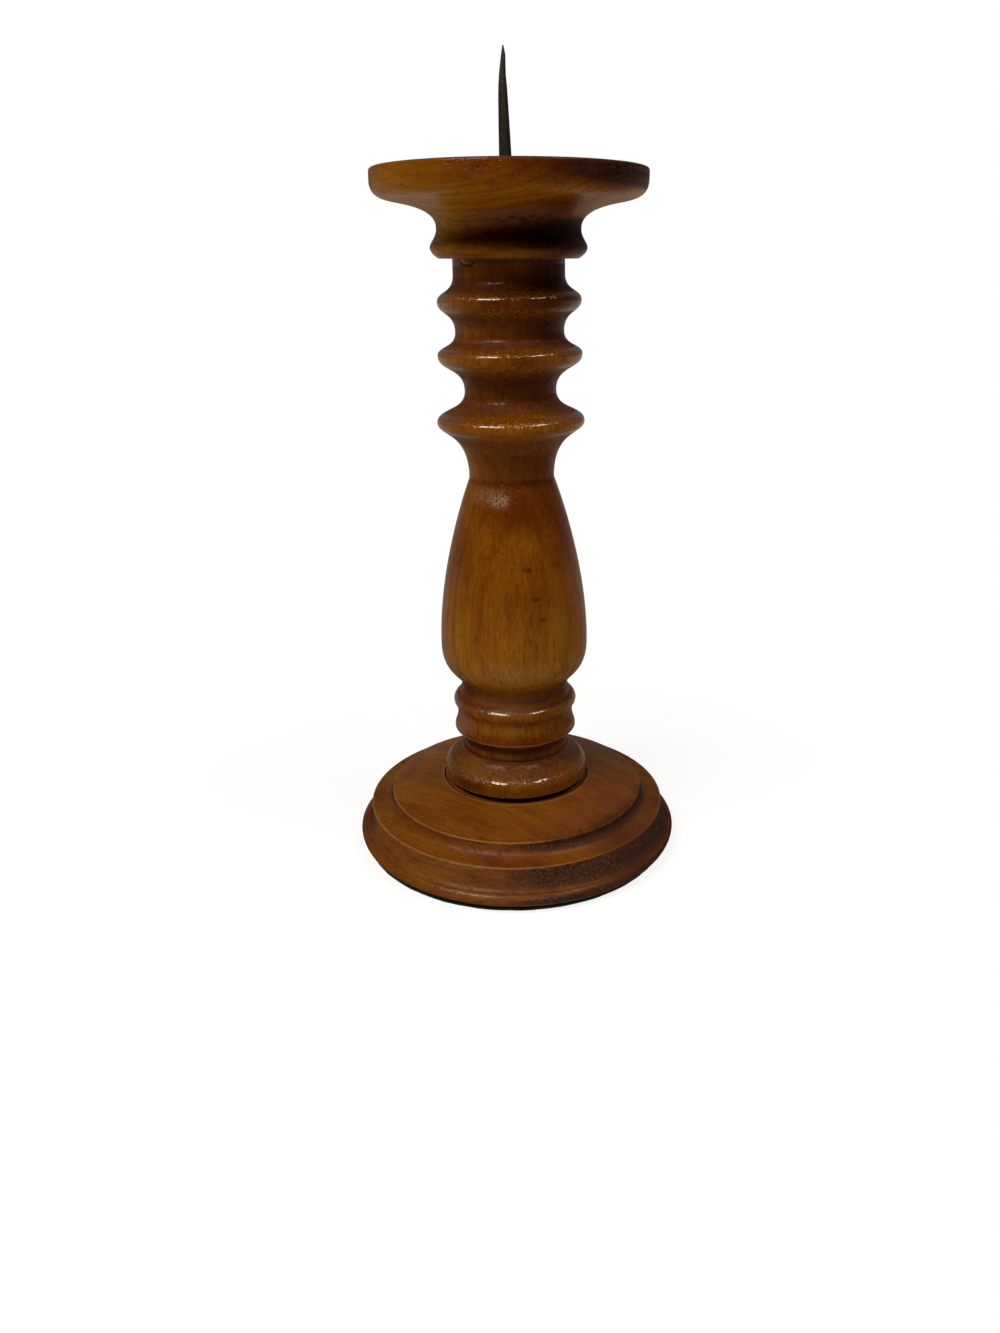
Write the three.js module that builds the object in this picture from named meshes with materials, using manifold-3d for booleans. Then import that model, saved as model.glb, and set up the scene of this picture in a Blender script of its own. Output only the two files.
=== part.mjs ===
// Turned wooden pricket candlestick: felted base, ringed baluster stem, drip pan and forged spike.
// Millimetres, +Z up, origin at the middle of the felt's underside.
import * as THREE from "three";
import { mergeVertices } from "three/addons/utils/BufferGeometryUtils.js";
import Module from "manifold-3d";

const wasm = await Module();
wasm.setup();

// Fits: the glue line between seated faces, and the play round tenons, screw and spike
const GLUE_LINE = 0.3;
const FIT_PLAY = 0.3;

// Felt disc glued under the base
const FELT_THICKNESS = 1.5;
const FELT_INSET = 0.6;

// Base, radii from the crown's edge outwards
const CROWN_RADIUS = 62.3;
const UPPER_COVE_WIDTH = 7.3;
const STEP_LIP_WIDTH = 2.9;
const LOWER_COVE_WIDTH = 4;
const NOSE_PROJECTION = 2.2;
const NOSE_UNDERCUT = 3.2;
const CROWN_LAND_RADIUS = 25;
const EDGE_ROUND = 0.8;

// Base, heights from its underside up
const NOSE_LOWER_HEIGHT = 4.7;
const NOSE_UPPER_HEIGHT = 3.8;
const LOWER_COVE_HEIGHT = 10.2;
const UPPER_COVE_HEIGHT = 6.7;
const CROWN_RISE = 7.2;
const CROWN_SWELL = 1.5;

// Stem, radii from the foot up
const FOOT_RADIUS = 35.2;
const FOOT_EDGE_ROUND = 0.8;
const FOOT_CREST_ROUND = 1.6;
const ANKLE_RADIUS = 24.6;
const LOWER_BEAD_RADIUS = 29.4;
const QUIRK_RADIUS = 26.7;
const UPPER_BEAD_RADIUS = 29.7;
const GROOVE_RADIUS = 25.5;
const BELLY_RADIUS = 34.9;
const NECK_RADIUS = 19.2;
const LOWER_RING_RADIUS = 32.8;
const LOWER_HOLLOW_RADIUS = 20.2;
const MIDDLE_RING_RADIUS = 31.6;
const UPPER_HOLLOW_RADIUS = 23.6;
const UPPER_RING_RADIUS = 31;
const COLLAR_RADIUS = 23.9;

// Stem, the rise of each stretch from the foot up
const FOOT_RIM_HEIGHT = 7.8;
const FOOT_SLOPE_HEIGHT = 10.4;
const ANKLE_HEIGHT = 2.5;
const LOWER_BEAD_LOWER_RISE = 4.8;
const LOWER_BEAD_UPPER_RISE = 6.9;
const UPPER_BEAD_LOWER_RISE = 7.2;
const UPPER_BEAD_UPPER_RISE = 6.5;
const BELLY_LOWER_RISE = 21.9;
const BELLY_UPPER_RISE = 78.7;
const LOWER_RING_LOWER_RISE = 24.9;
const LOWER_RING_UPPER_RISE = 13.4;
const MIDDLE_RING_LOWER_RISE = 15;
const MIDDLE_RING_UPPER_RISE = 9.6;
const UPPER_RING_LOWER_RISE = 12.5;
const UPPER_RING_UPPER_RISE = 10.5;
const COLLAR_HEIGHT = 6;

// Tenons on the two ends of the stem
const BASE_TENON_RADIUS = 12;
const BASE_TENON_LENGTH = 18;
const PAN_TENON_RADIUS = 12;
const PAN_TENON_LENGTH = 15;

// Drip pan, radii and heights from its seam with the stem up
const PAN_RADIUS = 57.6;
const PAN_BEAD_RADIUS = 33.2;
const PAN_BEAD_UNDERCUT = 3.6;
const PAN_NECK_RADIUS = 30.4;
const PAN_EDGE_SWEEP = 8.8;
const PAN_EDGE_SLOPE = 0.18;
const PAN_BEAD_LOWER_RISE = 4.2;
const PAN_BEAD_UPPER_RISE = 7.6;
const PAN_BELL_RISE = 10.7;
const PAN_EDGE_RISE = 7.6;
const PAN_RIM_HEIGHT = 5.4;
const RIM_ROUND = 1.5;
const RIM_WIDTH = 5;
const DISH_COVE_WIDTH = 6;
const DISH_DEPTH = 3.2;

// Spike: a square forged nail driven up through the pan, set a little off centre and leaning
const SPIKE_HEIGHT = 47;
const SPIKE_SIDE_AT_PAN = 4.4;
const SPIKE_TAPER = 0.05;
const SPIKE_POINT_LENGTH = 17;
const SPIKE_POINT_FULLNESS = 0.45;
const SPIKE_OFFSET = -1.15;
const SPIKE_LEAN = -0.027;
const SPIKE_POINT_SET = 0.65;
const SPIKE_TURN = THREE.MathUtils.degToRad(-18);
const NAIL_HEAD_RADIUS = 5.5;
const NAIL_HEAD_THICKNESS = 2.4;

// Countersunk wood screw up through the base into the stem
const SCREW_LENGTH = 45;
const SCREW_RADIUS = 2.4;
const SCREW_HEAD_RADIUS = 4.6;
const SCREW_HEAD_EDGE = 0.5;
const SCREW_POINT_LENGTH = 8;
const SCREW_SLOT_WIDTH = 1.2;
const SCREW_SLOT_DEPTH = 1.1;

// Facets round the axis and along each curve
const BASE_SEGMENTS = 48;
const STEM_SEGMENTS = 36;
const PAN_SEGMENTS = 44;
const SMALL_SEGMENTS = 20;
const SQUARE_SEGMENTS = 4;
const CURVE_STEPS = 5;

// How long a turned curve stays upright beside each form, as a share of the curve's rise
const CRISP_EDGE = 0;
const CREST_FULLNESS = 0.42;
const HOLLOW_FULLNESS = 0.68;
const BEAD_FULLNESS = 0.55;
const BEAD_TOP_FULLNESS = 0.15;
const GROOVE_FULLNESS = 0.35;
const BELLY_LOWER_FULLNESS = 0.7;
const BELLY_UPPER_FULLNESS = 0.5;
const NECK_FULLNESS = 0.85;
const RING_UNDERSIDE_FULLNESS = 0.22;
const ANKLE_FULLNESS = 0.6;
const PAN_BEAD_TOP_FULLNESS = 0.3;
const PAN_NECK_FULLNESS = 0.5;
const PAN_BELL_FULLNESS = 0.64;
const PAN_EDGE_FULLNESS = 0.75;

const baseWood = new THREE.MeshStandardMaterial({ color: 0x7c4612, roughness: 0.38, metalness: 0 });
const stemWood = new THREE.MeshStandardMaterial({ color: 0x7a4412, roughness: 0.32, metalness: 0 });
const panWood = new THREE.MeshStandardMaterial({ color: 0x744010, roughness: 0.35, metalness: 0 });
const greenFelt = new THREE.MeshStandardMaterial({ color: 0x12301f, roughness: 0.95, metalness: 0 });
const blackIron = new THREE.MeshStandardMaterial({ color: 0x15150f, roughness: 0.6, metalness: 0.8 });
const plainSteel = new THREE.MeshStandardMaterial({ color: 0x8d8d88, roughness: 0.4, metalness: 1 });

// Outline in the radius and height plane, with the curves a turner cuts
class TurnedOutline extends THREE.Path {
  // A curve that leaves and arrives upright, each end held upright for a share of the rise.
  sweep(radius, rise, leave, arrive) {
    const { x, y } = this.currentPoint;
    const top = y + rise;
    return this.bezierCurveTo(x, y + leave * rise, radius, top - arrive * rise, radius, top);
  }

  riseBy(rise) {
    const { x, y } = this.currentPoint;
    return this.lineTo(x, y + rise);
  }

  // A solid turned round the Z axis.
  turn(segments) {
    return new THREE.LatheGeometry(this.getPoints(CURVE_STEPS), segments).rotateX(Math.PI / 2);
  }
}

function solidOf(geometry) {
  const bare = geometry.clone();
  bare.deleteAttribute("normal");
  bare.deleteAttribute("uv");
  const merged = mergeVertices(bare);
  const vertProperties = new Float32Array(merged.getAttribute("position").array);
  const triVerts = new Uint32Array(merged.index.array);
  return new wasm.Manifold(new wasm.Mesh({ numProp: 3, vertProperties, triVerts }));
}

function geometryOf(solid) {
  const { vertProperties, triVerts } = solid.getMesh();
  const geometry = new THREE.BufferGeometry();
  geometry.setAttribute("position", new THREE.BufferAttribute(vertProperties, 3));
  geometry.setIndex(new THREE.BufferAttribute(triVerts, 1));
  return geometry;
}

function pieceMesh(name, geometry, material) {
  const mesh = new THREE.Mesh(geometry, material);
  mesh.name = name;
  return mesh;
}

// Base sizes that its neighbours share
const NOSE_CREASE_RADIUS = CROWN_RADIUS + UPPER_COVE_WIDTH + STEP_LIP_WIDTH + LOWER_COVE_WIDTH;
const NOSE_RADIUS = NOSE_CREASE_RADIUS + NOSE_PROJECTION;
const UNDERSIDE_RADIUS = NOSE_RADIUS - NOSE_UNDERCUT;
const STEP_HEIGHT = NOSE_LOWER_HEIGHT + NOSE_UPPER_HEIGHT + LOWER_COVE_HEIGHT;
const CROWN_EDGE_HEIGHT = STEP_HEIGHT + UPPER_COVE_HEIGHT;
const BASE_HEIGHT = CROWN_EDGE_HEIGHT + CROWN_RISE;
const MORTISE_FLOOR = BASE_HEIGHT - BASE_TENON_LENGTH;
const SCREW_CONE_HEIGHT = SCREW_HEAD_RADIUS - SCREW_RADIUS;

// Felt: a plain disc cut to sit just inside the edge of the base
function makeFelt() {
  const radius = UNDERSIDE_RADIUS - FELT_INSET;
  const disc = new THREE.CylinderGeometry(radius, radius, FELT_THICKNESS, BASE_SEGMENTS);
  return pieceMesh("base_felt", disc.rotateX(Math.PI / 2), greenFelt);
}

// Base: rolled nose, two coves and a low crown, bored for the tenon and the screw
function makeBase() {
  const stepRadius = CROWN_RADIUS + UPPER_COVE_WIDTH + STEP_LIP_WIDTH;
  const lipRadius = CROWN_RADIUS + UPPER_COVE_WIDTH;
  const creaseHeight = NOSE_LOWER_HEIGHT + NOSE_UPPER_HEIGHT;
  const swellRadius = (CROWN_RADIUS + CROWN_LAND_RADIUS) / 2;
  const swellHeight = CROWN_EDGE_HEIGHT + CROWN_RISE / 2 + CROWN_SWELL;
  const mortiseRadius = BASE_TENON_RADIUS + FIT_PLAY;
  const holeRadius = SCREW_RADIUS + FIT_PLAY;
  const sinkRadius = SCREW_HEAD_RADIUS + FIT_PLAY;
  const sinkHeight = GLUE_LINE + SCREW_HEAD_EDGE;
  const outline = new TurnedOutline();
  outline.moveTo(sinkRadius, 0);
  outline.lineTo(UNDERSIDE_RADIUS, 0);
  outline.sweep(NOSE_RADIUS, NOSE_LOWER_HEIGHT, CRISP_EDGE, BEAD_FULLNESS);
  outline.sweep(NOSE_CREASE_RADIUS, NOSE_UPPER_HEIGHT, BEAD_FULLNESS, CRISP_EDGE);
  outline.quadraticCurveTo(stepRadius, creaseHeight, stepRadius, STEP_HEIGHT - EDGE_ROUND);
  outline.quadraticCurveTo(stepRadius, STEP_HEIGHT, stepRadius - EDGE_ROUND, STEP_HEIGHT);
  outline.lineTo(lipRadius, STEP_HEIGHT);
  outline.quadraticCurveTo(CROWN_RADIUS, STEP_HEIGHT, CROWN_RADIUS, CROWN_EDGE_HEIGHT - EDGE_ROUND);
  outline.quadraticCurveTo(CROWN_RADIUS, CROWN_EDGE_HEIGHT, CROWN_RADIUS - EDGE_ROUND, CROWN_EDGE_HEIGHT);
  outline.quadraticCurveTo(swellRadius, swellHeight, CROWN_LAND_RADIUS, BASE_HEIGHT);
  outline.lineTo(mortiseRadius, BASE_HEIGHT);
  outline.lineTo(mortiseRadius, MORTISE_FLOOR - GLUE_LINE);
  outline.lineTo(holeRadius, MORTISE_FLOOR - GLUE_LINE);
  outline.lineTo(holeRadius, sinkHeight + SCREW_CONE_HEIGHT);
  outline.lineTo(sinkRadius, sinkHeight);
  outline.closePath();
  return pieceMesh("base", outline.turn(BASE_SEGMENTS), baseWood);
}

// Screw: slotted countersunk head under the felt, shank up into the stem's tenon
function makeScrew() {
  const shank = new TurnedOutline();
  shank.moveTo(0, 0);
  shank.lineTo(SCREW_HEAD_RADIUS, 0);
  shank.riseBy(SCREW_HEAD_EDGE);
  shank.lineTo(SCREW_RADIUS, SCREW_HEAD_EDGE + SCREW_CONE_HEIGHT);
  shank.lineTo(SCREW_RADIUS, SCREW_LENGTH - SCREW_POINT_LENGTH);
  shank.lineTo(0, SCREW_LENGTH);
  const slot = new THREE.BoxGeometry(3 * SCREW_HEAD_RADIUS, SCREW_SLOT_WIDTH, 2 * SCREW_SLOT_DEPTH);
  const cut = solidOf(shank.turn(SMALL_SEGMENTS)).subtract(solidOf(slot));
  return pieceMesh("base_screw", geometryOf(cut), plainSteel);
}

// Stem: foot, two beads, long baluster belly, three rings and a plain collar, with a tenon on each end
function makeStem() {
  const pilotRadius = SCREW_RADIUS + FIT_PLAY;
  const pilotTop = SCREW_LENGTH + FIT_PLAY - BASE_HEIGHT;
  const outline = new TurnedOutline();
  outline.moveTo(0, pilotTop);
  outline.lineTo(pilotRadius, pilotTop - SCREW_POINT_LENGTH);
  outline.lineTo(pilotRadius, -BASE_TENON_LENGTH);
  outline.lineTo(BASE_TENON_RADIUS, -BASE_TENON_LENGTH);
  outline.lineTo(BASE_TENON_RADIUS, 0);
  outline.lineTo(FOOT_RADIUS - FOOT_EDGE_ROUND, 0);
  outline.quadraticCurveTo(FOOT_RADIUS, 0, FOOT_RADIUS, FOOT_EDGE_ROUND);
  outline.lineTo(FOOT_RADIUS, FOOT_RIM_HEIGHT - FOOT_CREST_ROUND);
  outline.quadraticCurveTo(FOOT_RADIUS, FOOT_RIM_HEIGHT, FOOT_RADIUS - FOOT_CREST_ROUND, FOOT_RIM_HEIGHT);
  outline.sweep(ANKLE_RADIUS, FOOT_SLOPE_HEIGHT, CRISP_EDGE, ANKLE_FULLNESS);
  outline.riseBy(ANKLE_HEIGHT);
  outline.sweep(LOWER_BEAD_RADIUS, LOWER_BEAD_LOWER_RISE, CRISP_EDGE, BEAD_FULLNESS);
  outline.sweep(QUIRK_RADIUS, LOWER_BEAD_UPPER_RISE, CREST_FULLNESS, CRISP_EDGE);
  outline.sweep(UPPER_BEAD_RADIUS, UPPER_BEAD_LOWER_RISE, CRISP_EDGE, BEAD_FULLNESS);
  outline.sweep(GROOVE_RADIUS, UPPER_BEAD_UPPER_RISE, BEAD_TOP_FULLNESS, GROOVE_FULLNESS);
  outline.sweep(BELLY_RADIUS, BELLY_LOWER_RISE, GROOVE_FULLNESS, BELLY_LOWER_FULLNESS);
  outline.sweep(NECK_RADIUS, BELLY_UPPER_RISE, BELLY_UPPER_FULLNESS, CRISP_EDGE);
  outline.sweep(LOWER_RING_RADIUS, LOWER_RING_LOWER_RISE, NECK_FULLNESS, RING_UNDERSIDE_FULLNESS);
  outline.sweep(LOWER_HOLLOW_RADIUS, LOWER_RING_UPPER_RISE, CREST_FULLNESS, HOLLOW_FULLNESS);
  outline.sweep(MIDDLE_RING_RADIUS, MIDDLE_RING_LOWER_RISE, HOLLOW_FULLNESS, CREST_FULLNESS);
  outline.sweep(UPPER_HOLLOW_RADIUS, MIDDLE_RING_UPPER_RISE, CREST_FULLNESS, HOLLOW_FULLNESS);
  outline.sweep(UPPER_RING_RADIUS, UPPER_RING_LOWER_RISE, HOLLOW_FULLNESS, CREST_FULLNESS);
  outline.sweep(COLLAR_RADIUS, UPPER_RING_UPPER_RISE, CREST_FULLNESS, HOLLOW_FULLNESS);
  outline.riseBy(COLLAR_HEIGHT);
  const shoulder = outline.currentPoint.y;
  outline.lineTo(PAN_TENON_RADIUS, shoulder);
  outline.riseBy(PAN_TENON_LENGTH);
  outline.lineTo(0, shoulder + PAN_TENON_LENGTH);
  const stem = pieceMesh("stem", outline.turn(STEM_SEGMENTS), stemWood);
  return { stem, shoulder };
}

// Pan heights above its seam with the stem
const PAN_NECK_HEIGHT = PAN_BEAD_LOWER_RISE + PAN_BEAD_UPPER_RISE;
const PAN_HEIGHT = PAN_NECK_HEIGHT + PAN_BELL_RISE + PAN_EDGE_RISE + PAN_RIM_HEIGHT;
const DISH_FLOOR = PAN_HEIGHT - DISH_DEPTH;
const MORTISE_ROOF = PAN_TENON_LENGTH + NAIL_HEAD_THICKNESS + GLUE_LINE;

// Square tapering shank on its bent centre line, its zero at the dish floor, grown all round by a margin
function spikeShank(margin) {
  const toRadius = Math.SQRT1_2;
  const bottom = MORTISE_ROOF - DISH_FLOOR - GLUE_LINE - NAIL_HEAD_THICKNESS / 2;
  const pointStart = SPIKE_HEIGHT - SPIKE_POINT_LENGTH;
  const radiusAt = (height) => (SPIKE_SIDE_AT_PAN - SPIKE_TAPER * height + 2 * margin) * toRadius;
  const fullHeight = pointStart + SPIKE_POINT_FULLNESS * SPIKE_POINT_LENGTH;
  const outline = new TurnedOutline();
  outline.moveTo(0, bottom);
  outline.lineTo(radiusAt(bottom), bottom);
  outline.lineTo(radiusAt(0), 0);
  outline.lineTo(radiusAt(pointStart), pointStart);
  outline.quadraticCurveTo(radiusAt(fullHeight), fullHeight, 0, SPIKE_HEIGHT);
  const shank = outline.turn(SQUARE_SEGMENTS).rotateZ(Math.PI / SQUARE_SEGMENTS + SPIKE_TURN);
  const points = shank.getAttribute("position");
  for (let i = 0; i < points.count; i += 1) {
    const height = points.getZ(i);
    const alongPoint = Math.max(0, height - pointStart) / SPIKE_POINT_LENGTH;
    const bend = SPIKE_OFFSET + SPIKE_LEAN * height + SPIKE_POINT_SET * alongPoint ** 2;
    points.setX(i, points.getX(i) + bend);
  }
  return shank;
}

// Pan: bead, bell-shaped neck and shallow dish, bored for the stem's tenon and pierced by the spike
function makePan() {
  const mortiseRadius = PAN_TENON_RADIUS + FIT_PLAY;
  const seamRadius = PAN_BEAD_RADIUS - PAN_BEAD_UNDERCUT;
  const sweepRadius = PAN_RADIUS - PAN_EDGE_SWEEP;
  const sweepHeight = PAN_NECK_HEIGHT + PAN_BELL_RISE;
  const rimHeight = sweepHeight + PAN_EDGE_RISE;
  const bellReach = (sweepRadius - PAN_NECK_RADIUS) / 2;
  const edgeReach = PAN_EDGE_SWEEP / 2;
  const dishRadius = PAN_RADIUS - RIM_WIDTH;
  const floorRadius = dishRadius - DISH_COVE_WIDTH;
  const outline = new TurnedOutline();
  outline.moveTo(0, MORTISE_ROOF);
  outline.lineTo(mortiseRadius, MORTISE_ROOF);
  outline.lineTo(mortiseRadius, 0);
  outline.lineTo(seamRadius, 0);
  outline.sweep(PAN_BEAD_RADIUS, PAN_BEAD_LOWER_RISE, CRISP_EDGE, BEAD_FULLNESS);
  outline.sweep(PAN_NECK_RADIUS, PAN_BEAD_UPPER_RISE, PAN_BEAD_TOP_FULLNESS, PAN_NECK_FULLNESS);
  outline.bezierCurveTo(
    PAN_NECK_RADIUS, PAN_NECK_HEIGHT + PAN_BELL_FULLNESS * PAN_BELL_RISE,
    sweepRadius - bellReach, sweepHeight - PAN_EDGE_SLOPE * bellReach,
    sweepRadius, sweepHeight,
  );
  outline.bezierCurveTo(
    sweepRadius + edgeReach, sweepHeight + PAN_EDGE_SLOPE * edgeReach,
    PAN_RADIUS, rimHeight - PAN_EDGE_FULLNESS * PAN_EDGE_RISE,
    PAN_RADIUS, rimHeight,
  );
  outline.lineTo(PAN_RADIUS, PAN_HEIGHT - RIM_ROUND);
  outline.quadraticCurveTo(PAN_RADIUS, PAN_HEIGHT, PAN_RADIUS - RIM_ROUND, PAN_HEIGHT);
  outline.lineTo(dishRadius, PAN_HEIGHT);
  outline.quadraticCurveTo(dishRadius, DISH_FLOOR, floorRadius, DISH_FLOOR);
  outline.lineTo(0, DISH_FLOOR);
  const hole = solidOf(spikeShank(FIT_PLAY).translate(0, 0, DISH_FLOOR));
  const pierced = solidOf(outline.turn(PAN_SEGMENTS)).subtract(hole);
  return pieceMesh("drip_pan", geometryOf(pierced), panWood);
}

// Spike: the shank with its flat nail head, which the stem's tenon traps in the pan
function makeSpike() {
  const radius = NAIL_HEAD_RADIUS;
  const head = new THREE.CylinderGeometry(radius, radius, NAIL_HEAD_THICKNESS, SMALL_SEGMENTS);
  const headHeight = MORTISE_ROOF - DISH_FLOOR - GLUE_LINE - NAIL_HEAD_THICKNESS / 2;
  head.rotateX(Math.PI / 2).translate(SPIKE_OFFSET + SPIKE_LEAN * headHeight, 0, headHeight);
  const joined = solidOf(spikeShank(0)).add(solidOf(head));
  return pieceMesh("pricket_spike", geometryOf(joined), blackIron);
}

// Assembly, from the table up
const candlestick = new THREE.Group();
const felt = makeFelt();
felt.position.z = FELT_THICKNESS / 2;
candlestick.add(felt);

const body = new THREE.Group();
body.position.z = FELT_THICKNESS + GLUE_LINE;
const screw = makeScrew();
screw.position.z = GLUE_LINE;
body.add(makeBase(), screw);
candlestick.add(body);

const { stem, shoulder } = makeStem();
stem.position.z = BASE_HEIGHT + GLUE_LINE;
body.add(stem);

const top = new THREE.Group();
top.position.z = stem.position.z + shoulder + GLUE_LINE;
const spike = makeSpike();
spike.position.z = DISH_FLOOR;
top.add(makePan(), spike);
body.add(top);

export default candlestick;
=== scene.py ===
import math

import bmesh
import bpy
from mathutils import Matrix, Vector, noise
from mathutils.geometry import interpolate_bezier


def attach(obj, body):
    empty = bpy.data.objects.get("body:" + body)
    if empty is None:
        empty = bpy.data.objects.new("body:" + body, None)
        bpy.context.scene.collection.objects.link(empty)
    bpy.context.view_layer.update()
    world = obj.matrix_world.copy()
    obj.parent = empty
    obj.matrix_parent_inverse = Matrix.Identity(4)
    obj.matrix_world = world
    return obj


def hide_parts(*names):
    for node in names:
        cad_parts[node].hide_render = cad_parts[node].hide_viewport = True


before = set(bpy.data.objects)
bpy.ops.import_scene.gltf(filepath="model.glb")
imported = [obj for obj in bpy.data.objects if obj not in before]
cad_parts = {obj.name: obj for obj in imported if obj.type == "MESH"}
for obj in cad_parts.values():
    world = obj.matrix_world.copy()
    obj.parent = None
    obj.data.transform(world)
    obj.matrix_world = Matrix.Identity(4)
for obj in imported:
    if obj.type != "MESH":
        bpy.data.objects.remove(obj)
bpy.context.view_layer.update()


# Felt: a disc of dark green wool felt, cut by hand and glued flat under the base
# to save the table. Its edge shows as a thin fuzzy line below the rolled nose.
MM = 0.001
FELT_RADIUS = 75.6
FELT_THICKNESS = 1.5
FELT_OFFSET = (-0.5, 0.2)
FELT_EDGE_ROUND = 0.35
FELT_FRAY = 0.3
FELT_SEGMENTS = 192
FELT_SHADE = (0.004, 0.016, 0.009)
FELT_GREEN = (0.014, 0.050, 0.027)


def fill_sockets(tree, node, values):
    """Links or sets a node's sockets, by name or number."""
    for key, value in values.items():
        if isinstance(value, bpy.types.NodeSocket):
            tree.links.new(value, node.inputs[key])
        else:
            node.inputs[key].default_value = value


def add_node(tree, kind, values=None, **settings):
    """Adds a node with its settings, and fills its sockets."""
    node = tree.nodes.new(kind)
    for name, setting in settings.items():
        setattr(node, name, setting)
    fill_sockets(tree, node, values or {})
    return node


def object_place(tree):
    return add_node(tree, "ShaderNodeTexCoord").outputs["Object"]


def math_node(tree, operation, first, second=0.5, clamp=False):
    values = {0: first, 1: second}
    return add_node(tree, "ShaderNodeMath", values, operation=operation, use_clamp=clamp).outputs[0]


def noise_node(tree, vector, scale, detail, roughness=0.5, output=0):
    values = {"Vector": vector, "Scale": scale, "Detail": detail, "Roughness": roughness}
    return add_node(tree, "ShaderNodeTexNoise", values).outputs[output]


def bump_node(tree, height, strength, depth):
    """Relief in the shading from a height, its depth in millimetres."""
    values = {"Height": height, "Strength": strength, "Distance": depth * MM}
    return add_node(tree, "ShaderNodeBump", values).outputs[0]


def opaque(colour):
    return (*colour, 1)


def blend_colour(tree, kind, factor, under, over):
    """Lays one colour over another by a factor."""
    under, over = (opaque(colour) if isinstance(colour, tuple) else colour for colour in (under, over))
    values = {0: factor, 6: under, 7: over}
    return add_node(tree, "ShaderNodeMix", values, data_type="RGBA", blend_type=kind).outputs[2]


def ramp(tree, value, *stops):
    """A colour ramp from stops of place and grey level or colour."""
    node = add_node(tree, "ShaderNodeValToRGB", {0: value})
    elements = node.color_ramp.elements
    while len(elements) < len(stops):
        elements.new(0.5)
    for element, (place, level) in zip(elements, stops):
        element.position = place
        element.color = opaque(level if isinstance(level, tuple) else (level, level, level))
    return node.outputs[0]


def start_material(name):
    """A new material, with its node tree and its shader."""
    material = bpy.data.materials.new(name)
    material.use_nodes = True
    return material, material.node_tree, material.node_tree.nodes["Principled BSDF"]


def verts_in(geometry):
    return [item for item in geometry if isinstance(item, bmesh.types.BMVert)]


def finish_mesh(work, name, material, smooth_angle):
    """Makes a piece of a bmesh, shaded smooth but for its sharp edges."""
    mesh = bpy.data.meshes.new(name)
    for face in work.faces:
        face.smooth = True
    for edge in work.edges:
        edge.smooth = len(edge.link_faces) == 2 and edge.calc_face_angle() < smooth_angle
    work.to_mesh(mesh)
    work.free()
    mesh.materials.append(material)
    piece = bpy.data.objects.new(name, mesh)
    bpy.context.scene.collection.objects.link(piece)
    return piece


felt_wool, tree, shader = start_material("dark_green_felt")
place = object_place(tree)
fuzz = noise_node(tree, place, 2600, 4, 0.7)
matting = noise_node(tree, place, 160, 3)
green = ramp(tree, fuzz, (0.3, FELT_SHADE), (0.7, FELT_GREEN))
green = blend_colour(tree, "MULTIPLY", 0.6, green, ramp(tree, matting, (0.3, 0.45), (0.7, 1.0)))
fill_sockets(tree, shader, {
    "Base Color": green,
    "Normal": bump_node(tree, fuzz, 0.8, 0.6),
    "Roughness": 0.95,
    "Specular IOR Level": 0.1,
    "Sheen Weight": 0.15,
})

work = bmesh.new()
bmesh.ops.create_circle(work, cap_ends=True, segments=FELT_SEGMENTS, radius=FELT_RADIUS * MM)
raised = verts_in(bmesh.ops.extrude_face_region(work, geom=work.faces[:])["geom"])
bmesh.ops.translate(work, vec=(0, 0, FELT_THICKNESS * MM), verts=raised)
bmesh.ops.recalc_face_normals(work, faces=work.faces[:])
rim = [edge for edge in work.edges if edge.calc_face_angle(0) > 1]
bmesh.ops.bevel(
    work, geom=rim, offset=FELT_EDGE_ROUND * MM, affect="EDGES", segments=2, profile=0.5, material=-1
)
for vert in work.verts:
    outward = Vector((vert.co.x, vert.co.y, 0)).normalized()
    vert.co += outward * noise.noise(vert.co * 260) * FELT_FRAY * MM
bmesh.ops.translate(work, vec=(FELT_OFFSET[0] * MM, FELT_OFFSET[1] * MM, 0), verts=work.verts[:])
felt = finish_mesh(work, "felt_disc", felt_wool, math.radians(50))
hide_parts("base_felt")
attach(felt, "root")


# Base: one disc of hardwood plank, turned with a rolled nose, two coves and a low
# crown, stained amber and varnished. The end grain at the front right drank more stain.
BASE_UNDERSIDE = 1.8
BASE_HEIGHT = 32.6
UNDERSIDE_RADIUS = 70
UNDERCUT_RADIUS, UNDERCUT_RISE = 74.6, 0.4
NOSE_RADIUS, NOSE_RISE = 78.9, 5.3
NOSE_TOP_RADIUS, CREASE_RISE = 77.3, 7.4
STEP_RADIUS, STEP_RISE = 72.9, 18.7
STEP_LIP_RADIUS = 69.6
CROWN_RADIUS, CROWN_EDGE_RISE = 62.3, 25.4
CROWN_SWELL_RADIUS, CROWN_SWELL_RISE = 49.0, 29.1
EDGE_ROUND = 0.8
SEAT_RADIUS, SEAT_EDGE_RISE = 36.2, 30.9
SEAT_DEPTH, SEAT_WALL = 0.8, 0.5
LAND_RADIUS, LAND_SLOPE = 25, 2
MORTISE_RADIUS, MORTISE_FLOOR = 12.3, 14.3
SCREW_HOLE_RADIUS = 2.7
COUNTERSINK_RADIUS, COUNTERSINK_LIP, COUNTERSINK_DEPTH = 4.9, 0.8, 3
TURN_STEPS = 256
CRISP_ANGLE = math.radians(38)
EDGE_REACH = 0.8
FORM_REACH = 2.5
PLANK_GRAIN = math.radians(37)
GOLDEN = (0.186, 0.064, 0.0013)
RUSSET = (0.135, 0.033, 0.0013)
FLECK = (0.36, 0.19, 0.06)
RUBBED = (0.30, 0.15, 0.06)
GRIME_AND_SHADE = (0.22, 0.14, 0.10)
TORN = (0.010, 0.003, 0.001)
DIRT_AND_SHADE = (0.020, 0.006, 0.001)
BLOOM = (0.155, 0.040, 0.018)
BROWN = (0.075, 0.022, 0.009)
DULL_RED = (0.11, 0.026, 0.008)
WORN = (0.16, 0.10, 0.05)


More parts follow.
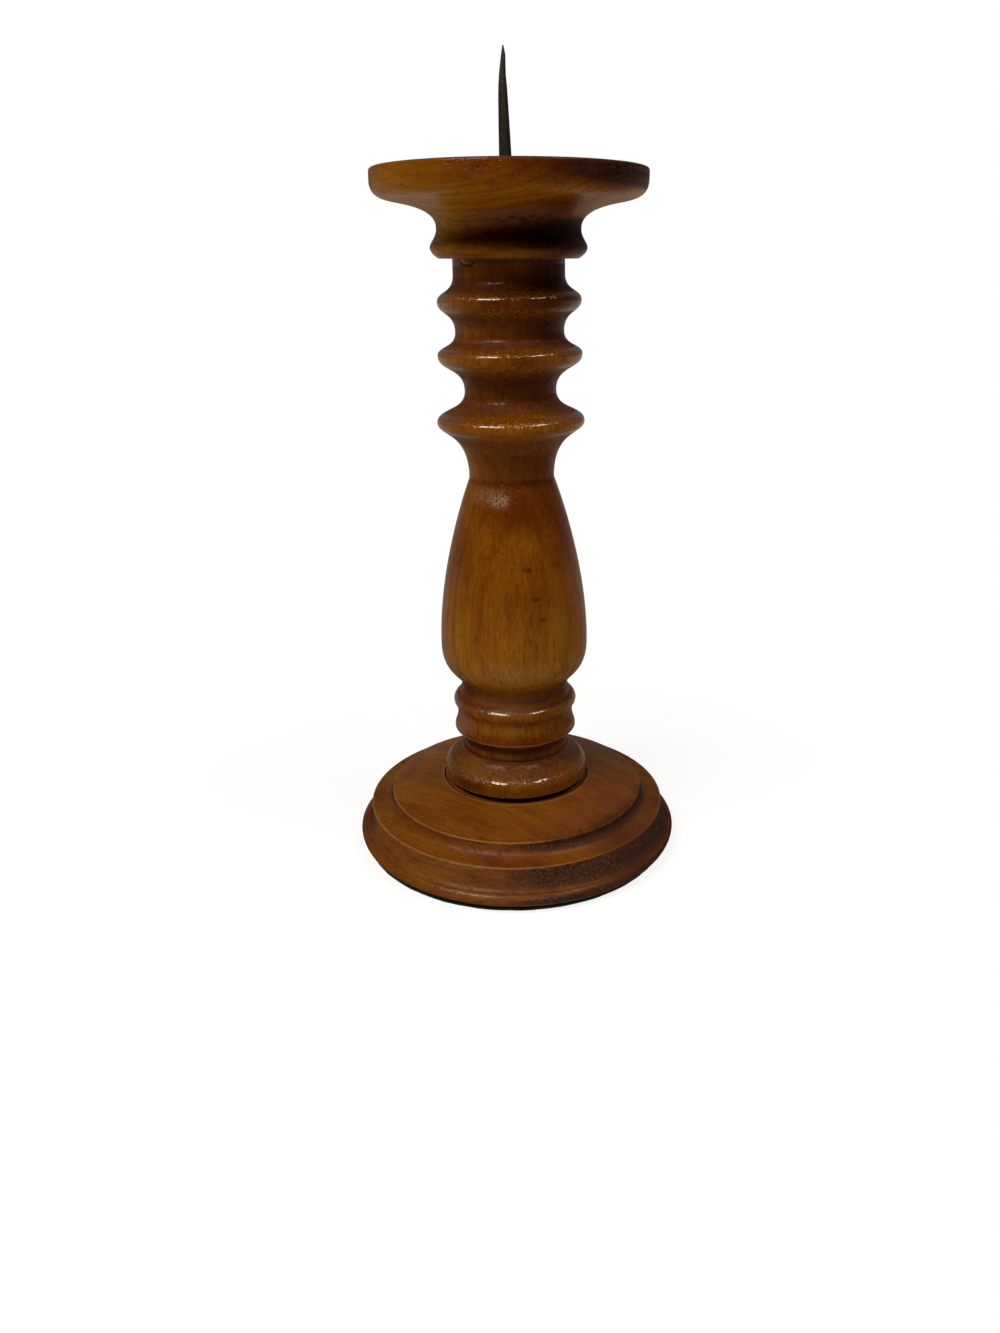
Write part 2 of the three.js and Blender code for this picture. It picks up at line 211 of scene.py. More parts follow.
def at_azimuth(radius, azimuth, height):
    """A place round the axis, its azimuth in degrees from the front towards the right."""
    turned = math.radians(azimuth)
    return (radius * math.sin(turned), -radius * math.cos(turned), height)


# Zones paint light and shade, and a few paint stain tones; a zone has a middle, a reach along each axis, and
# a level above or below 1
BASE_ZONES = (
    ((0, 0, 15), (500, 500, 500), 1.18),
    ((-50, 30, 30), (40, 40, 20), 1.25),
    ((46, -40, 24), (26, 26, 6), 0.6),
    # Painted shade: darker on the lowest few millimetres, under the nose
    ((0, 0, 1), (400, 400, 5), 0.5),
    ((62, -46, 8), (36, 36, 9), 0.5),
    ((-20, -72, 7), (70, 34, 8), 0.8),
    ((-72, -28, 7), (34, 52, 9), 0.75),
    ((82, -12, 12), (36, 52, 20), 0.45),
)
# A mark has a middle, a reach, a tone, a strength, and a share that the speckle leaves whole
BASE_MARKS = (
    ((54, -44, 28), (58, 50, 14), BLOOM, 0.45, 1.0),
    ((58, -52, 20.5), (32, 32, 4.5), BROWN, 0.5, 1.0),
    ((56, -56, 8), (46, 42, 8), BROWN, 0.6, 1.0),
    ((46, -44, 25.5), (34, 26, 4), DIRT_AND_SHADE, 0.5, 0.0),
    ((30, -72, 14), (28, 16, 7), DULL_RED, 0.45, 0.3),
    ((0, 0, 3.8), (200, 200, 1.2), WORN, 0.7, 0.6),
    *((at_azimuth(62, azimuth, 26.3), (8, 8, 3.0), DIRT_AND_SHADE, 0.8, 0.1) for azimuth in range(18, 79, 10)),
)


def point(radius, height):
    return Vector((radius, 0, height))


def line_to(outline, radius, height, steps=1):
    start, end = outline[-1], point(radius, height)
    outline.extend(start.lerp(end, step / steps) for step in range(1, steps + 1))


def curve_to(outline, leave, arrive, end, steps=12):
    outline.extend(interpolate_bezier(outline[-1], leave, arrive, end, steps + 1)[1:])


def sweep(outline, radius, rise, leave, arrive, steps=12):
    """Carries an outline up to a new radius, upright for a share of the rise at either end."""
    start = outline[-1]
    end = point(radius, start.z + rise)
    curve_to(outline, start + point(0, leave * rise), end - point(0, arrive * rise), end, steps)


def round_to(outline, corner, end, steps=6):
    """Carries an outline round a corner."""
    start = outline[-1]
    curve_to(outline, start.lerp(corner, 2 / 3), end.lerp(corner, 2 / 3), end, steps)


def walk(outline, index, way, distance):
    """The place that lies a distance along an outline from one of its points."""
    place = outline[index]
    while 0 <= index + way < len(outline):
        step = outline[index + way] - place
        if step.length >= distance:
            return place + step.normalized() * distance
        distance -= step.length
        index += way
        place = outline[index]
    return place


def proudness(outline, reach):
    """How far each point stands out from the chord over its reach, as a share of the reach."""
    for index, place in enumerate(outline):
        before, after = walk(outline, index, -1, reach), walk(outline, index, 1, reach)
        along = (after - before).normalized()
        yield (place - (before + after) / 2).dot(Vector((along.z, 0, -along.x))) / reach


def turn(outline, seat, hollow=False):
    """Turns an outline that stands on a seat, noting its crisp edges and its swelling forms."""
    outline = [place + point(0, seat) for place in outline]
    work = bmesh.new()
    edge_layer = work.verts.layers.float.new("edge")
    form_layer = work.verts.layers.float.new("form")
    edges, forms = proudness(outline, EDGE_REACH), proudness(outline, FORM_REACH)
    for place, edge, form in zip(outline, edges, forms):
        vert = work.verts.new(place * MM)
        vert[edge_layer], vert[form_layer] = edge, form
    points = work.verts[:]
    lines = [work.edges.new(pair) for pair in zip(points, points[1:])]
    if hollow:
        lines.append(work.edges.new((points[-1], points[0])))
    bmesh.ops.spin(
        work, geom=points + lines, cent=(0, 0, 0), axis=(0, 0, 1), angle=math.tau,
        steps=TURN_STEPS, use_merge=True,
    )
    bmesh.ops.remove_doubles(work, verts=work.verts[:], dist=1e-6)
    bmesh.ops.recalc_face_normals(work, faces=work.faces[:])
    return work


def stain_and_shade_tint(level):
    """A change of level that takes green and blue away faster than red as it darkens, used alike for stain
    and for painted light and shade.
    """
    return (level, level ** 1.6, level ** 1.6)


def turned_wood(
    name, grain_turn, pith, seed, golden_from, end_from, end_share, end_tone, hollow_stain_and_shade,
    rub_share, varnish, dullness, shine, fleck_share, pore_share, zones, marks,
):
    """Stained and varnished hardwood. Its grain runs along X once grain_turn has turned its frame."""
    material, tree, shader = start_material(name)
    coordinates = add_node(tree, "ShaderNodeTexCoord").outputs

    def plus(first, second):
        return math_node(tree, "ADD", first, second)

    def less(first, second):
        return math_node(tree, "SUBTRACT", first, second)

    def times(first, second):
        return math_node(tree, "MULTIPLY", first, second)

    def vector_math(operation, values, output="Vector"):
        return add_node(tree, "ShaderNodeVectorMath", values, operation=operation).outputs[output]

    def mapped(vector, **values):
        return add_node(tree, "ShaderNodeMapping", {"Vector": vector, **values}).outputs[0]

    def attribute(name):
        return add_node(tree, "ShaderNodeAttribute", attribute_name=name).outputs["Fac"]

    def stretched(vector, scale, detail=3, roughness=0.6, output=0):
        """Noise drawn out along the grain, its scale given in features to the metre."""
        return noise_node(tree, mapped(vector, Location=seed, Scale=scale), 1, detail, roughness, output)

    def wander(vector, scale, reach):
        """Moves places about by noise, to bend what is drawn over them."""
        drift = stretched(vector, scale, 2, 0.5, "Color")
        drift = vector_math("SUBTRACT", {0: drift, 1: (0.5, 0.5, 0.5)})
        return vector_math("ADD", {0: vector, 1: vector_math("SCALE", {0: drift, "Scale": reach})})

    def nearness(vector, middle, reach, full):
        """1 up to a full share of a reach about a middle, and 0 from the reach on."""
        away = vector_math("SUBTRACT", {0: vector, 1: Vector(middle) * MM})
        away = vector_math("DIVIDE", {0: away, 1: Vector(reach) * MM})
        return ramp(tree, vector_math("LENGTH", {0: away}, "Value"), (full, 1.0), (1.0, 0.0))

    grain = mapped(coordinates["Object"], Rotation=grain_turn)
    facing = mapped(coordinates["Normal"], Rotation=grain_turn)

    # Growth rings round a pith outside the piece, bent by slow noise
    bent = wander(grain, (6, 26, 26), 0.006)
    tilt, pith_y, pith_z = pith
    across = mapped(bent, Location=(0, pith_y, pith_z), Rotation=(0, 0, tilt))
    across = vector_math("MULTIPLY", {0: across, 1: (0.03, 1, 1)})
    depth = vector_math("LENGTH", {0: across}, "Value")
    rings = ramp(
        tree, math_node(tree, "FRACT", times(depth, 210)),
        (0.0, stain_and_shade_tint(0.9)), (0.15, stain_and_shade_tint(1.04)), (0.6, stain_and_shade_tint(1.0)), (0.93, stain_and_shade_tint(0.74)), (1, stain_and_shade_tint(0.9)),
    )

    # Stain: slow patches of golden and russet brown, over fibres and open pores
    patches = stretched(grain, (5, 55, 55))
    colour = ramp(tree, patches, (golden_from, RUSSET), (golden_from + 0.22, GOLDEN))
    colour = blend_colour(tree, "MULTIPLY", 0.55, colour, rings)
    fibres = stretched(bent, (40, 560, 560), 4, 0.7)
    fibre_tone = ramp(tree, fibres, (0.34, stain_and_shade_tint(0.74)), (0.62, stain_and_shade_tint(1.10)))
    colour = blend_colour(tree, "MULTIPLY", 0.75, colour, fibre_tone)
    pores = ramp(tree, stretched(bent, (220, 1000, 1000), 2, 0.7), (0.32, 0.0), (0.44, 1.0))
    colour = blend_colour(tree, "MULTIPLY", pore_share, colour, pores)
    flecks = stretched(bent, (260, 1050, 1050), 3, 0.75, "Color")
    flecks = times(ramp(tree, flecks, (0.50, 0.0), (0.68, 1.0)), fleck_share)
    colour = blend_colour(tree, "MIX", flecks, colour, FLECK)
    # Zones of painted light and shade, and a few of stain tone, each over its part of the piece
    mottled = wander(coordinates["Object"], (500, 500, 500), 0.004)
    for middle, reach, level in zones:
        colour = blend_colour(tree, "MULTIPLY", nearness(mottled, middle, reach, 0.3), colour, stain_and_shade_tint(level))

    # End grain: darker, speckled and rough where the cut crosses the fibres
    along = math_node(tree, "ABSOLUTE", add_node(tree, "ShaderNodeSeparateXYZ", {0: facing}).outputs[0])
    speckle = stretched(bent, (1050, 1050, 1050), 3, 0.75)
    jagged = plus(along, times(less(speckle, 0.5), 0.5))
    end_grain = ramp(tree, jagged, (end_from, 0.0), (end_from + 0.16, 1.0))
    drunk = ramp(tree, speckle, (0.40, 0.1), (0.54, 0.9), (0.64, 3.0))
    drunk = blend_colour(tree, "MULTIPLY", 1.0, end_tone, drunk)
    colour = blend_colour(tree, "MIX", times(end_grain, end_share), colour, drunk)

    # Wear and painted shade: stain gathered in the hollows, varnish rubbed pale on crisp edges, grime in the
    # creases; the darkening of hollows and creases also paints their shade
    form = plus(attribute("form"), 0.5)
    gathered_and_shaded = ramp(tree, form, (0.32, stain_and_shade_tint(hollow_stain_and_shade)), (0.54, stain_and_shade_tint(1.0)))
    colour = blend_colour(tree, "MULTIPLY", 1.0, colour, gathered_and_shaded)
    edge = plus(attribute("edge"), 0.5)
    rub = stretched(grain, (240, 240, 240))
    rubbed = times(ramp(tree, edge, (0.68, 0.0), (0.84, 1.0)), ramp(tree, rub, (0.3, 0.4), (0.62, 1.0)))
    rubbed = times(times(rubbed, rub_share), less(1.0, end_grain))
    colour = blend_colour(tree, "MIX", rubbed, colour, RUBBED)
    colour = blend_colour(tree, "MULTIPLY", ramp(tree, edge, (0.05, 0.75), (0.25, 0.0)), colour, GRIME_AND_SHADE)

    # Marks: dents, pits and scuffs, and patches of painted sheen and shade, at their places on the piece,
    # with frayed edges
    frayed = wander(coordinates["Object"], (900, 900, 900), 0.0012)
    dented = 0.0
    for middle, reach, tone, strength, whole in marks:
        mark = times(nearness(frayed, middle, reach, 0.35), strength)
        mark = times(mark, ramp(tree, speckle, (0.44, whole), (0.56, 1.0)))
        colour = blend_colour(tree, "MIX", mark, colour, tone)
        dented = math_node(tree, "MAXIMUM", dented, mark)
    colour = blend_colour(tree, "MIX", ramp(tree, attribute("split"), (0.1, 0.0), (0.6, 0.9)), colour, TORN)

    # Relief: fibres, pores and the ripple of the turning, pitted end grain and dents
    height = plus(times(fibres, 0.5), times(pores, 0.7))
    height = plus(height, times(stretched(grain, (90, 150, 150), 2), 0.25))
    height = plus(height, times(times(speckle, end_grain), 3 * end_share))
    height = less(height, times(dented, 1.5))

    # Gloss: burnished on the swelling forms, dull in the hollows and on end grain
    crest = ramp(tree, form, (0.53, 0.0), (0.61, 1.0))
    gloss = ramp(tree, form, (0.38, 0.235), (0.50, 0.20), (0.64, 0.11))
    gloss = plus(gloss, times(times(end_grain, less(1.0, crest)), 0.16))
    gloss = plus(gloss, times(rubbed, 0.15))
    gloss = plus(gloss, times(less(rub, 0.5), 0.12))
    fill_sockets(tree, shader, {
        "Base Color": colour,
        "Roughness": math_node(tree, "ADD", gloss, dullness, True),
        "Normal": bump_node(tree, height, 0.4, 0.6),
        "Specular IOR Level": shine,
    })
    if varnish:
        fill_sockets(tree, shader, {
            "Coat Weight": times(crest, varnish),
            "Coat Normal": bump_node(tree, pores, 0.3, 0.3),
            "Coat Roughness": 0.08,
        })
    return material


outline = [point(COUNTERSINK_RADIUS, 0)]
line_to(outline, UNDERSIDE_RADIUS, 0, 4)
line_to(outline, UNDERCUT_RADIUS, UNDERCUT_RISE, 3)
sweep(outline, NOSE_RADIUS, NOSE_RISE - UNDERCUT_RISE, 0, 0.85, 18)
sweep(outline, NOSE_TOP_RADIUS, CREASE_RISE - NOSE_RISE, 0.6, 0, 8)
round_to(outline, point(STEP_RADIUS, CREASE_RISE), point(STEP_RADIUS, STEP_RISE - EDGE_ROUND), 16)
round_to(outline, point(STEP_RADIUS, STEP_RISE), point(STEP_RADIUS - EDGE_ROUND, STEP_RISE))
line_to(outline, STEP_LIP_RADIUS, STEP_RISE, 3)
round_to(outline, point(CROWN_RADIUS, STEP_RISE), point(CROWN_RADIUS, CROWN_EDGE_RISE - EDGE_ROUND), 16)
round_to(outline, point(CROWN_RADIUS, CROWN_EDGE_RISE), point(CROWN_RADIUS - EDGE_ROUND, CROWN_EDGE_RISE))
round_to(outline, point(CROWN_SWELL_RADIUS, CROWN_SWELL_RISE), point(SEAT_RADIUS, SEAT_EDGE_RISE), 16)
line_to(outline, SEAT_RADIUS - SEAT_WALL, SEAT_EDGE_RISE - SEAT_DEPTH)
line_to(outline, LAND_RADIUS + LAND_SLOPE, SEAT_EDGE_RISE - SEAT_DEPTH, 3)
line_to(outline, LAND_RADIUS, BASE_HEIGHT)
line_to(outline, MORTISE_RADIUS, BASE_HEIGHT, 4)
line_to(outline, MORTISE_RADIUS, MORTISE_FLOOR)
line_to(outline, SCREW_HOLE_RADIUS, MORTISE_FLOOR)
line_to(outline, SCREW_HOLE_RADIUS, COUNTERSINK_DEPTH)
line_to(outline, COUNTERSINK_RADIUS, COUNTERSINK_LIP)
base_wood = turned_wood(
    "base_plank_wood", grain_turn=(0, 0, PLANK_GRAIN), pith=(0, 0.021, 0.085), seed=(1.3, 4.1, 2.2),
    golden_from=0.37, end_from=0.51, end_share=0.92, end_tone=(0.066, 0.028, 0.016), hollow_stain_and_shade=0.95,
    rub_share=0.7, varnish=0, dullness=0.2, shine=0.28, fleck_share=0.10, pore_share=0.4,
    zones=BASE_ZONES, marks=BASE_MARKS,
)
base = finish_mesh(turn(outline, BASE_UNDERSIDE, hollow=True), "base_turning", base_wood, CRISP_ANGLE)
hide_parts("base")
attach(base, "root")


# Screw: a countersunk steel wood screw, driven up through the base into the stem
# before the felt was glued on. It is hidden, and keeps the plain solid it has.
DARK_STEEL = (0.30, 0.30, 0.29)
BRIGHT_STEEL = (0.52, 0.52, 0.50)

screw_steel, tree, shader = start_material("plain_screw_steel")
drawn_out = {"Vector": object_place(tree), "Scale": (900, 900, 60)}
scratches = noise_node(tree, add_node(tree, "ShaderNodeMapping", drawn_out).outputs[0], 1, 3)
fill_sockets(tree, shader, {
    "Base Color": ramp(tree, scratches, (0.3, DARK_STEEL), (0.7, BRIGHT_STEEL)),
    "Roughness": math_node(tree, "MULTIPLY", scratches, 0.7),
    "Metallic": 1,
})
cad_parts["base_screw"].data.materials[0] = screw_steel


# Stem: one spindle turned between centres, its grain upright, with a foot, two
# beads, a long belly, three rings and a collar. A tenon at each end is glued in.
STEM_SEAT = 34.7
PILOT_SHOULDER, PILOT_TIP = 4.7, 12.7
TENON_RADIUS = 12
BASE_TENON_LENGTH = 18
PAN_TENON_LENGTH = 15
FOOT_RADIUS = 35.2
FOOT_EDGE_ROUND = 1.3
FOOT_WALL_RISE, FOOT_CREST_RISE = 4.2, 6.95
FOOT_SLOPE_RADIUS, FOOT_SLOPE_RISE = 31.6, 9.04
TURNED_LINE_RADIUS, TURNED_LINE_RISE = 25.2, 15.0
ANKLE_RADIUS, ANKLE_RISE = 25.5, 15.8
ANKLE_TOP_RADIUS, ANKLE_TOP_RISE = 25.2, 20.7
LOWER_BEAD_CORNER, LOWER_BEAD_TOP = (29.65, 25.4), (29.3, 26.6)
UPPER_BEAD_WALL, UPPER_BEAD_CORNER, UPPER_BEAD_TOP = (29.8, 38.9), (29.8, 40.2), (28.3, 41.5)
THROAT_LEAVE, THROAT_ARRIVE, THROAT = (27.6, 42.1), (26.6, 43.2), (26.3, 44.4)
COLLAR_TOP = 273.3
# Forms of the stem from the foot's shoulder up: a radius, and the rise to it from the form below
SHOULDER = (26.2, 5.26)
LOWER_BEAD = (29.5, 3.9)
QUIRK = (28.0, 5.6)
UPPER_BEAD = (29.6, 5.5)
GROOVE = (25.5, 1.7)
BELLY = (34.9, 21.9)
NECK = (19.2, 78.7)
LOWER_RING = (32.8, 24.9)
LOWER_HOLLOW = (20.2, 13.4)
MIDDLE_RING = (31.6, 15)
UPPER_HOLLOW = (23.6, 9.6)
UPPER_RING = (31, 12.5)
COLLAR = (23.9, 10.5)
CREST_FULLNESS, HOLLOW_FULLNESS = 0.42, 0.68
PAN_SKEW = math.radians(1.0)
SEAM_GAP = 0.25
SPLIT_AZIMUTH, SPLIT_REACH = -45, 13
SPLIT_SAG, SPLIT_WIDTH, SPLIT_DEPTH = 2.0, 0.7, 0.7
WORN_AZIMUTH, WORN_REACH = -46, 26
WORN_HEIGHT, WORN_RISE, WORN_DEPTH = 42, 4, 1.1
SPINDLE_GRAIN = math.radians(90)
PALE_SCUFF_AND_SHEEN = (0.36, 0.27, 0.18)
OCHRE = (0.19, 0.085, 0.004)
PAINTED_GREY_SHEEN = (0.11, 0.050, 0.038)
RED = (0.11, 0.016, 0.001)
STEM_ZONES = (
    # Collar and upper ring: painted shade of the pan above them, deepest at the right, and painted light at
    # the left
    ((0, 0, 270), (60, 60, 14), 0.54),
    ((24, -12, 266), (30, 34, 20), 0.25),
    ((-20, -14, 270), (14, 20, 10), 1.5),
    ((20, -15, 248), (26, 26, 16), 0.42),
    ((0, -28, 256), (34, 18, 9), 0.58),
    ((-22, -12, 245), (12, 14, 9), 1.3),
    # Middle and lower ring, and the neck: painted shade under the rings, and painted light at the neck's
    # left
    ((2, -30, 235), (18, 12, 8), 0.8),
    ((6, -18, 226), (26, 20, 8), 0.5),
    ((8, -18, 188), (32, 26, 18), 0.7),
    ((-20, -8, 190), (12, 16, 12), 1.3),
    # Belly: painted shade under the lower ring, darker at the top right, painted light at the left, and
    # lighter at the bottom front
    ((2, -22, 170), (24, 16, 14), 0.6),
    ((24, -14, 165), (16, 22, 28), 0.65),
    ((-28, -20, 118), (12, 16, 26), 1.2),
    ((0, -30, 103), (44, 34, 30), 1.4),
    # Beads, ankle and foot: lighter over the beads' front and left, painted shade in the quirk between the
    # beads and round the ankle under them, and the foot darker on its worn rim and lighter on its slope at
    # the left
    ((0, -28, 65), (40, 20, 7), 1.25),
    ((-24, -22, 67), (20, 20, 6), 1.35),
    ((0, -28, 61.3), (44, 22, 3.4), 0.62),
    ((4, -28, 68), (36, 18, 5), 1.22),
    ((0, 0, 56), (60, 60, 6), 0.72),
    ((-24, -26, 39), (15, 15, 5), 0.5),
    ((-20, -22, 46), (12, 14, 5), 1.4),
    # Left edge of the belly
    ((-26, -16, 150), (10, 16, 18), 0.78),
)
STEM_MARKS = (
    # Three pits down the belly and two specks
    ((6.6, -29.1, 145.1), (2.6, 3.0, 1.5), DIRT_AND_SHADE, 0.85, 0.6),
    ((10.1, -30.7, 132.1), (2.4, 3.0, 1.4), DIRT_AND_SHADE, 0.75, 0.6),
    ((13.2, -31.0, 122.8), (2.8, 3.0, 1.3), DIRT_AND_SHADE, 0.75, 0.6),
    ((16.6, -20.7, 158.6), (1.1, 2.0, 1.1), DIRT_AND_SHADE, 0.5, 0.6),
    ((-4.7, -27.7, 152.5), (1.1, 2.0, 1.1), DIRT_AND_SHADE, 0.5, 0.6),
    # Scuff at the top of the belly
    ((-5.7, -20.9, 174.6), (6.0, 5.0, 4.4), PALE_SCUFF_AND_SHEEN, 0.6, 0.0),
    ((-12, -18, 176), (14, 10, 5), PALE_SCUFF_AND_SHEEN, 0.22, 0.0),
    # Tones of foot and belly, painted pale and grey sheen on the foot's slope, and the nicks of the foot
    ((-23, -20, 45), (15, 15, 5), OCHRE, 0.6, 0.6),
    ((26, -15, 163), (8, 14, 30), RED, 0.5, 0.8),
    ((-10, -26.5, 47.2), (7, 5, 1.2), PALE_SCUFF_AND_SHEEN, 0.5, 0.2),
    ((8, -26.6, 47.4), (5, 4, 1.0), PALE_SCUFF_AND_SHEEN, 0.3, 0.2),
    ((28, -8, 47), (9, 10, 7), PAINTED_GREY_SHEEN, 0.5, 1.0),
    ((17, -23.5, 46.4), (2.6, 2, 0.7), DIRT_AND_SHADE, 0.7, 0.2),
    ((20.5, -24, 44.2), (2.2, 2, 0.6), DIRT_AND_SHADE, 0.6, 0.2),
    # Painted pale sheen over the groove and the upper bead's front, and at the beads' left and right
    ((0, -25, 80), (36, 14, 4), PALE_SCUFF_AND_SHEEN, 0.05, 1.0),
    ((-27, -14, 67), (9, 14, 9), PALE_SCUFF_AND_SHEEN, 0.22, 1.0),
    ((27, -12, 71), (7, 12, 6), PALE_SCUFF_AND_SHEEN, 0.18, 1.0),
    ((-7, -27.6, 76.2), (9, 4, 1.8), PALE_SCUFF_AND_SHEEN, 0.25, 0.2),
    # Painted shade: a dark patch on the collar's right in the pan's shadow, and a dark line at the seam
    # where the pan's bead shades it
    ((15.5, -18.5, 264.5), (8, 8, 7), DIRT_AND_SHADE, 0.55, 0.8),
    ((0, 0, 273.5), (200, 200, 1.5), DIRT_AND_SHADE, 0.85, 0.8),
    # Painted pale sheen round the bottom of the belly, in flecks at the front and solid at the left and
    # right
    ((0, -33, 97), (30, 14, 8), PALE_SCUFF_AND_SHEEN, 0.14, 0.1),
    ((-37, -14, 98), (16, 22, 20), PALE_SCUFF_AND_SHEEN, 0.12, 1.0),
    ((35, -14, 96), (14, 20, 18), PALE_SCUFF_AND_SHEEN, 0.08, 1.0),
)

outline = [point(0, PILOT_TIP)]
line_to(outline, SCREW_HOLE_RADIUS, PILOT_SHOULDER)
line_to(outline, SCREW_HOLE_RADIUS, -BASE_TENON_LENGTH)
line_to(outline, TENON_RADIUS, -BASE_TENON_LENGTH)
line_to(outline, TENON_RADIUS, 0)
line_to(outline, FOOT_RADIUS - FOOT_EDGE_ROUND, 0, 4)
round_to(outline, point(FOOT_RADIUS, 0), point(FOOT_RADIUS, FOOT_EDGE_ROUND), 5)
line_to(outline, FOOT_RADIUS, FOOT_WALL_RISE, 6)
round_to(outline, point(FOOT_RADIUS, FOOT_CREST_RISE), point(FOOT_SLOPE_RADIUS, FOOT_SLOPE_RISE), 16)
sweep(outline, *SHOULDER, 0, 0.3, 14)
line_to(outline, TURNED_LINE_RADIUS, TURNED_LINE_RISE)
line_to(outline, ANKLE_RADIUS, ANKLE_RISE)
line_to(outline, ANKLE_TOP_RADIUS, ANKLE_TOP_RISE, 5)
sweep(outline, *LOWER_BEAD, 0.1, 0)
round_to(outline, point(*LOWER_BEAD_CORNER), point(*LOWER_BEAD_TOP), 6)
sweep(outline, *QUIRK, 0, 0.45)
sweep(outline, *UPPER_BEAD, 0.75, 0)
line_to(outline, *UPPER_BEAD_WALL, 5)
round_to(outline, point(*UPPER_BEAD_CORNER), point(*UPPER_BEAD_TOP), 10)
curve_to(outline, point(*THROAT_LEAVE), point(*THROAT_ARRIVE), point(*THROAT), 8)
sweep(outline, *GROOVE, 0.2, 0.5, 4)
sweep(outline, *BELLY, 0.35, 0.7, 24)
sweep(outline, *NECK, 0.5, 0, 90)
sweep(outline, *LOWER_RING, 0.85, 0.22, 24)
for hollow, ring in ((LOWER_HOLLOW, MIDDLE_RING), (UPPER_HOLLOW, UPPER_RING)):
    sweep(outline, *hollow, CREST_FULLNESS, HOLLOW_FULLNESS, 18)
    sweep(outline, *ring, HOLLOW_FULLNESS, CREST_FULLNESS, 18)
sweep(outline, *COLLAR, CREST_FULLNESS, HOLLOW_FULLNESS, 18)
collar_radius, collar_rise = COLLAR[0], COLLAR_TOP - STEM_SEAT
line_to(outline, collar_radius, collar_rise, 12)
line_to(outline, TENON_RADIUS, collar_rise, 4)
line_to(outline, TENON_RADIUS, collar_rise + PAN_TENON_LENGTH)
line_to(outline, 0, collar_rise + PAN_TENON_LENGTH)
work = turn(outline, STEM_SEAT)
split = work.verts.layers.float.new("split")
for vert in work.verts:
    azimuth = math.degrees(math.atan2(vert.co.x, -vert.co.y))
    height = vert.co.z / MM
    if math.hypot(vert.co.x, vert.co.y) / MM < TENON_RADIUS + 0.5:
        continue
    # The torn sliver under the seam, at the left
    if abs(azimuth - SPLIT_AZIMUTH) < SPLIT_REACH:
        sag = 1 - ((azimuth - SPLIT_AZIMUTH) / SPLIT_REACH) ** 2
        off = abs(height - (COLLAR_TOP - SPLIT_SAG * sag)) / SPLIT_WIDTH
        if off < 1:
            vert.co -= vert.normal * SPLIT_DEPTH * MM * sag * (1 - off)
            vert[split] = sag * (1 - off)
    # The foot's crest, worn down at the left
    if abs(height - WORN_HEIGHT) < WORN_RISE and abs(azimuth - WORN_AZIMUTH) < WORN_REACH:
        share = 1 - ((azimuth - WORN_AZIMUTH) / WORN_REACH) ** 2
        share *= 1 - abs(height - WORN_HEIGHT) / WORN_RISE
        rough = 0.75 + 0.3 * noise.noise(vert.co * 220)
        vert.co -= Vector((vert.co.x, vert.co.y, 0.03)).normalized() * WORN_DEPTH * MM * share * rough
    # The collar's end, cut askew, on which the pan sits
    if height > COLLAR_TOP - 0.01:
        vert.co.z += SEAM_GAP * MM - vert.co.x * math.tan(PAN_SKEW)
stem_wood = turned_wood(
    "stem_spindle_wood", grain_turn=(0, SPINDLE_GRAIN, 0), pith=(-0.1, -0.062, -0.015), seed=(7.4, 0.6, 3.3),
    golden_from=0.30, end_from=0.50, end_share=0.5, end_tone=(0.135, 0.042, 0.003), hollow_stain_and_shade=0.6,
    rub_share=0.9, varnish=1.0, dullness=0, shine=0.16, fleck_share=0.14, pore_share=0.3,
    zones=STEM_ZONES, marks=STEM_MARKS,
)
stem = finish_mesh(work, "stem_turning", stem_wood, CRISP_ANGLE)
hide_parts("stem")
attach(stem, "root")


# Drip pan: a second disc of plank, turned with a bead, a bell-shaped neck and a
# shallow dish to catch the wax, and glued on the stem's upper tenon a little askew.
PAN_SEAM = 273.6
PAN_MORTISE_DEPTH = 17.7
PAN_LIP_RADIUS = 29.6
PAN_BEAD = (33.2, 4.2)
PAN_NECK = (30.4, 7.6)
BELL_LEAVE, BELL_ARRIVE, BELL = (30.4, 18.3), (39.6, 20.44), (48.8, 22.1)
FLARE_LEAVE, FLARE_ARRIVE_RISE = (53.2, 22.89), 24.0
PAN_RADIUS, PAN_EDGE_RISE = 57.6, 29.6
RIM_RISE, RIM_ROUND, RIM_WIDTH = 34.3, 1.5, 5
DISH_FLOOR, DISH_COVE_WIDTH = 32.3, 6
PAN_GRAIN = math.radians(28)
# Painted light and shade on the pan: lighter at the left, darker in front and at the right, and darkest on
# the neck and bead under the bell; the near-black at the neck's right is dark end grain and painted shade
# together
PAN_ZONES = (
    ((0, -50, 306), (60, 60, 9), 0.66),
    ((25, -23, 280), (40, 34, 8), 0.02),
    ((-28, -14, 283), (14, 20, 9), 1.7),
    ((14, -27, 276), (36, 25, 5), 0.46),
    ((-26, -34, 293), (30, 30, 9), 1.35),
    ((12, -30, 289), (26, 16, 8), 0.64),
    ((22, -36, 291), (24, 20, 8), 0.62),
    ((-46, -30, 302), (20, 26, 10), 1.2),
    ((-2, -30, 281.5), (34, 22, 5), 0.32),
    ((56, -14, 303), (14, 24, 12), 1.3),
    ((-8, -36, 290.5), (22, 18, 6), 0.75),
    ((32, -46, 304.5), (34, 34, 9), 0.5),
    ((10, -27, 284), (26, 18, 5), 0.42),
    ((26, -51.5, 305.5), (13, 13, 5.5), 0.58),
    ((42, -36, 299), (20, 20, 4.5), 0.72),
)
